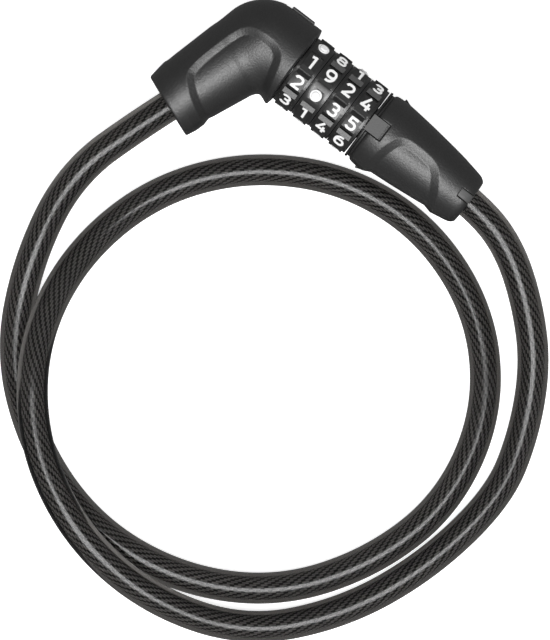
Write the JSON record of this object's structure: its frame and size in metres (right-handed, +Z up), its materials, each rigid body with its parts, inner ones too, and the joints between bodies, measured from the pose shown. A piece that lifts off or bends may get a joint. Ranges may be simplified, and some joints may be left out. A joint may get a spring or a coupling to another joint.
{
  "type": "cable lock",
  "caption": "Coiled cable lock: an angled head with code dials on a slotted barrel, a tapered plug that pulls out, and a clear jacketed braided cable.",
  "frame": {"origin": "on the surface that the lock lies on, under the centre of the box of the lock without its cable", "axes": "+X along the lock axis from the elbow towards the plug's cable end, +Z up, +Y away from the coil of cable"},
  "size_m": [0.2145, 0.2181, 0.034],
  "materials": {
    "cover_plastic": "fine grained moulded plastic",
    "slider_plastic": "fine grained moulded plastic",
    "dial_plastic": "satin moulded plastic",
    "numeral_white": "white filled numerals",
    "grey_metal": "satin dark grey",
    "cast_zinc": "dark grey casting",
    "steel": "turned",
    "spring_steel": "bright spring steel",
    "brass": "stamped",
    "cable_jacket": "clear smoke-tinted soft jacket",
    "braided_core": "dark braided sleeve over a steel rope"
  },
  "bodies": {
    "lock_body": {"elbow_cover_front": "cover_plastic", "elbow_cover_back": "cover_plastic", "elbow_core": "cast_zinc", "elbow_ferrule": "steel", "elbow_cross_pin": "steel", "barrel": "steel", "detent_spring": "spring_steel", "end_ring": "grey_metal", "wave_spring": "spring_steel", "thrust_washer": "steel", "ejector_spring": "spring_steel", "cable_jacket_elbow_run": "cable_jacket", "cable_core_elbow_run": "braided_core"},
    "plug": {"plug_cover": "cover_plastic", "plug_core": "cast_zinc", "plug_ferrule": "steel", "plug_cross_pin": "steel", "lock_pin": "steel", "cable_jacket_plug_run": "cable_jacket", "cable_core_plug_run": "braided_core"},
    "ejector": {"ejector": "steel"},
    "code_slider": {"code_slider": "slider_plastic"},
    "dial_1": {"dial_1": "dial_plastic", "dial_1_numerals": "numeral_white", "dial_1_cam": "brass"},
    "dial_2": {"dial_2": "dial_plastic", "dial_2_numerals": "numeral_white", "dial_2_cam": "brass"},
    "dial_3": {"dial_3": "dial_plastic", "dial_3_numerals": "numeral_white", "dial_3_cam": "brass"},
    "dial_4": {"dial_4": "dial_plastic", "dial_4_numerals": "numeral_white", "dial_4_cam": "brass"}
  },
  "joints": [
    {"name": "dial_1_turn", "type": "hinge", "parent": "lock_body", "child": "dial_1", "pos_m": [-0.0162, 0.0135, 0.017], "axis": [1, 0, 0], "continuous": true},
    {"name": "dial_2_turn", "type": "hinge", "parent": "lock_body", "child": "dial_2", "pos_m": [-0.00765, 0.0135, 0.017], "axis": [1, 0, 0], "continuous": true},
    {"name": "dial_3_turn", "type": "hinge", "parent": "lock_body", "child": "dial_3", "pos_m": [0.0009, 0.0135, 0.017], "axis": [1, 0, 0], "continuous": true},
    {"name": "dial_4_turn", "type": "hinge", "parent": "lock_body", "child": "dial_4", "pos_m": [0.00945, 0.0135, 0.017], "axis": [1, 0, 0], "continuous": true},
    {"name": "plug_slide", "type": "slide", "parent": "lock_body", "child": "plug", "axis": [1, 0, 0], "range_m": [0, 0.04]},
    {"name": "ejector_slide", "type": "slide", "parent": "lock_body", "child": "ejector", "axis": [1, 0, 0], "range_m": [0, 0.0028]},
    {"name": "code_slider_slide", "type": "slide", "parent": "lock_body", "child": "code_slider", "axis": [-1, 0, 0], "range_m": [0, 0.0022]}
  ],
  "couplings": [
    {"joint": "ejector_slide", "follows": "plug_slide", "ratio": 0.07}
  ]
}
